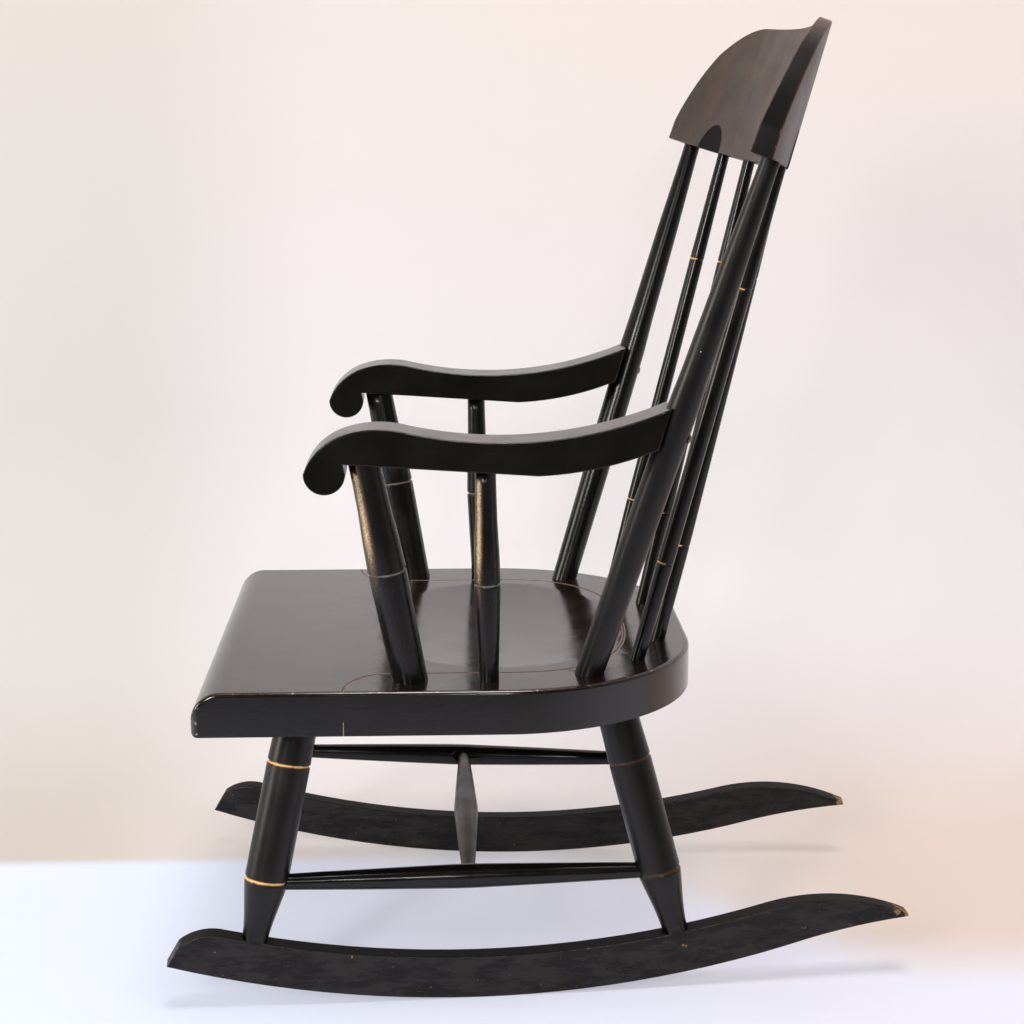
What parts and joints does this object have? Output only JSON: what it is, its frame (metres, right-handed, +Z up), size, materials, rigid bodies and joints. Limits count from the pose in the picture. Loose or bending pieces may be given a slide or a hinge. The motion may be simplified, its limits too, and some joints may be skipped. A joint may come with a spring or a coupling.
{
  "type": "boston rocking chair",
  "caption": "Child's Boston rocking chair: rolled and hollowed board seat, turned legs on curved runners, raked spindle back under a bent crest rail, and scrolled arms on turned supports.",
  "frame": {"origin": "on the floor, under the middle of the chair's outline", "axes": "+Z up, -Y the way the sitter looks, +X the sitter's left"},
  "size_m": [0.451, 0.536, 0.6865],
  "materials": {
    "black_paint": "satin black painted wood with gold rings",
    "crest_paint": "rubbed grey-brown painted wood",
    "worn_paint": "thin worn painted wood",
    "screw_steel": "dark aged steel"
  },
  "bodies": {
    "root": {"seat": "black_paint", "crest_rail": "crest_paint", "back_post_left": "black_paint", "back_post_right": "black_paint", "back_spindle_1": "black_paint", "back_spindle_2": "black_paint", "back_spindle_3": "black_paint", "back_spindle_4": "black_paint", "back_spindle_5": "black_paint", "arm_left": "black_paint", "arm_right": "black_paint", "arm_support_front_left": "black_paint", "arm_support_front_right": "black_paint", "arm_support_middle_left": "black_paint", "arm_support_middle_right": "black_paint", "leg_front_left": "black_paint", "leg_front_right": "black_paint", "leg_rear_left": "black_paint", "leg_rear_right": "black_paint", "side_stretcher_left": "black_paint", "side_stretcher_right": "black_paint", "cross_stretcher": "worn_paint", "runner_left": "black_paint", "runner_right": "black_paint", "arm_screws": "screw_steel"}
  },
  "joints": []
}
